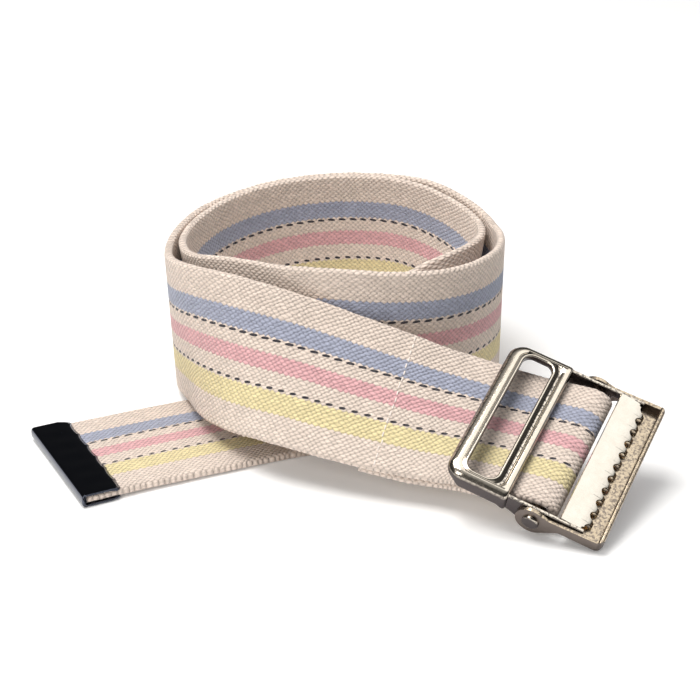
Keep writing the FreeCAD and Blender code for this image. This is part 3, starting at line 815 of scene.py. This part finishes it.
grid = ring_of_plate()
section, around = grid.shape[:2]
tube = ring_faces(section + 1, around) % (section * around)     # the last row joins the first
slotted_end = piece_from_grid("slotted_end", from_buckle(grid).reshape(-1, 3), tube.tolist(), nickel,
                              "lever")

# %% [markdown]
# ## Side arms and toothed plate
# The walls run on as two thin arms with a round boss at the axle. The toothed plate crosses
# between them. It falls gently, and its scalloped edge curls down toward the floor below.

# %% Cut plates from outlines
def cut_plate(name, outline_xz, y0, y1, paint, body, bevel=0.3):
    """A flat plate: an outline in the side view, extruded from y0 to y1, with eased edges."""
    flat = np.array(outline_xz)
    count = len(flat)
    rings = [np.column_stack([flat[:, 0], np.full(count, y), flat[:, 1]]) for y in (y0, y1)]
    faces = with_ends(ring_faces(2, count), 2, count)
    made = piece_from_grid(name, from_buckle(np.concatenate(rings)), faces, paint, body, smooth=False)
    ease = made.modifiers.new("eased", "BEVEL")
    ease.width = bevel * MM
    ease.segments = 3
    ease.limit_method = "ANGLE"
    ease.angle_limit = math.radians(28)
    made.data.polygons.foreach_set("use_smooth", [True] * len(made.data.polygons))
    ease.harden_normals = True
    return made


def arc_points(radius, start, end, count=14):
    """Points of an arc about the axle, angles in degrees."""
    angle = np.radians(np.linspace(start, end, count))
    return [(radius * math.cos(a), radius * math.sin(a)) for a in angle]


ARM_START, ARM_END, ARM_TOP, ARM_LOW, BOSS = -9.4, 16.1, 4.9, 1.95, 4.6
arm_outline = ([(ARM_START, ARM_TOP), (ARM_END, ARM_TOP), (ARM_END, ARM_LOW), (5.8, ARM_LOW)]
               + arc_points(BOSS, -40, -128) + [(ARM_START, -1.0)])
arms = [cut_plate("lever_arm_" + side, arm_outline, sign * (HALF - SHEET), sign * HALF, nickel, "lever")
        for side, sign in (("far", 1), ("near", -1))]


JAW_SHEET = 0.7
JAW_COLUMNS = 401


def toothed_plate():
    """Grid across the plate: its edge x = end - notch depth, where a notch is half an ellipse."""
    half = HALF - SHEET + 0.2
    across = np.linspace(-half, half, JAW_COLUMNS)
    pitch = (2 * (HALF - SHEET) - 3.0) / TEETH
    off = (across / pitch + 0.5) % 1 - 0.5
    notch = np.sqrt(np.clip(1 - (off * pitch / NOTCH) ** 2, 0, 1)) * NOTCH * 1.25
    relief = np.clip((np.abs(across) - (half - 2.4)) / 1.4, 0, 1) * 3.0
    edge = JAW_END - np.maximum(notch, relief)
    s = np.concatenate([np.linspace(0, 0.8, 9), np.linspace(0.84, 1, 7)])
    x = JAW_START + (edge[None] - JAW_START) * s[:, None]
    curl = 0.05 * np.clip(x - 13.6, 0, None) ** 2 + np.clip(x - 16.9, 0, None) ** 2
    fall = 5.3 - 0.10 * (x - JAW_START) - curl
    top = np.stack([x, np.broadcast_to(across, x.shape), fall], 2)
    under = top.copy()
    under[..., 2] -= JAW_SHEET
    under[..., 0] -= 0.1
    back = np.stack([np.full_like(across, JAW_START - 0.35), across, np.full_like(across, 4.9)], 1)
    ring = np.concatenate([back[None], top, under[::-1]])
    return ring.transpose(1, 0, 2)


grid = toothed_plate()
rows, ring = grid.shape[:2]
faces = with_ends(ring_faces(rows, ring), rows, ring)
# the toothed plate takes the lighter, painted-light copy of the lever's nickel
jaw = piece_from_grid("toothed_plate", from_buckle(grid).reshape(-1, 3), faces, lit_copy_nickel, "lever",
                      smooth=False)
for part in [slotted_end, jaw] + arms:
    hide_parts("lever_frame")

# %% [markdown]
# The base and the rivet keep their CAD meshes, whose shape is already right, and only get a
# finish: the base's plate is painted darker and more golden than the lever's, as painted shade
# for its floor lying under the toothed plate.

# %% Plate the base and the rivet
for node, paint in (("base_frame", shaded_golden_plate), ("axle_rivet", nickel)):
    slots = frame["nodes"][node].data.materials
    slots.clear()
    slots.append(paint.material)

# %% [markdown]
# ## The cap on the free end
# One thin plate is folded over the end of the webbing and crimped. In the side view it is a long
# loop: over the top, round the fold, under the webbing and back inside. Its free edges are
# cut in shallow waves, which bite into the cotton.

# %% Fold the cap
CAP_LENGTH, CAP_SHEET, CAP_GAP = 12.7, 0.5, 0.12        # mm
CAP_OVERHANG = 0.45                                     # past each edge of the webbing
WAVE_PITCH, WAVE_DEPTH, CORNER_CUT = 8.6, 0.55, 1.6
FOLD_POINTS = 15


def crimped_cap():
    """Sections in the side view, one for each place across; edge x = length + wave - corner cut."""
    half = WIDTH / 2 / MM + CAP_OVERHANG
    inner = THICK / 2 / MM + CAP_GAP
    outer = inner + CAP_SHEET
    across = np.linspace(-half, half, 181)
    wave = 1 - np.abs(np.sin(math.pi * (across + 2.0) / WAVE_PITCH)) ** 0.6
    corner = np.clip((np.abs(across) - half + 1.2) / 1.2, 0, 1) ** 2
    edge = CAP_LENGTH + WAVE_DEPTH * wave - CORNER_CUT * corner
    turn = np.radians(np.linspace(90, 270, FOLD_POINTS))
    fold_x = 0.55 + 1.15 * np.cos(turn)
    fold_z = np.sign(np.sin(turn)) * np.abs(np.sin(turn)) ** 0.6 * outer
    inside_x, inside_z = 0.5 + 0.5 * np.cos(turn[::-1]), np.sin(turn[::-1]) * inner
    press = 0.07 * np.sin(across[:, None] * 2 * math.pi / WAVE_PITCH)
    t = np.linspace(1, 0.08, 10)
    top_x = edge[:, None] * t
    bite = np.array([0.55, 0.25] + [0.0] * 8)
    dip = outer - bite + press * np.sin(math.pi * t)
    low_x, low_z = top_x[:, ::-1], bite[::-1] * 0.6 - outer
    fold = np.stack([fold_x, fold_z], 1)
    inside = np.stack([inside_x, -inside_z], 1)[::-1] * [1, -1]

    def every(x, z):
        """One row of a section for each place across."""
        return np.stack([x, np.broadcast_to(z, x.shape)], 2)

    def same(curve):
        return np.broadcast_to(curve, (len(across), FOLD_POINTS, 2))

    rows = [every(top_x, dip), same(fold), every(low_x, low_z),
            every(low_x[:, ::-1] * 0.995, low_z[::-1] + CAP_SHEET), same(inside),
            every(top_x[:, ::-1] * 0.995, dip[:, ::-1] - CAP_SHEET)]
    flat = np.concatenate(rows, 1)
    points = (centre[0] + flat[..., :1] * MM * along[0] - flat[..., 1:] * MM * inward[0]
              + across[:, None, None] * MM * upper[0])
    ring = flat.shape[1]
    return points.reshape(-1, 3), with_ends(ring_faces(len(across), ring), len(across), ring)


points, faces = crimped_cap()
cap = piece_from_grid("crimped_cap", points, faces, cap_plate, "belt")
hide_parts("tip_cap")
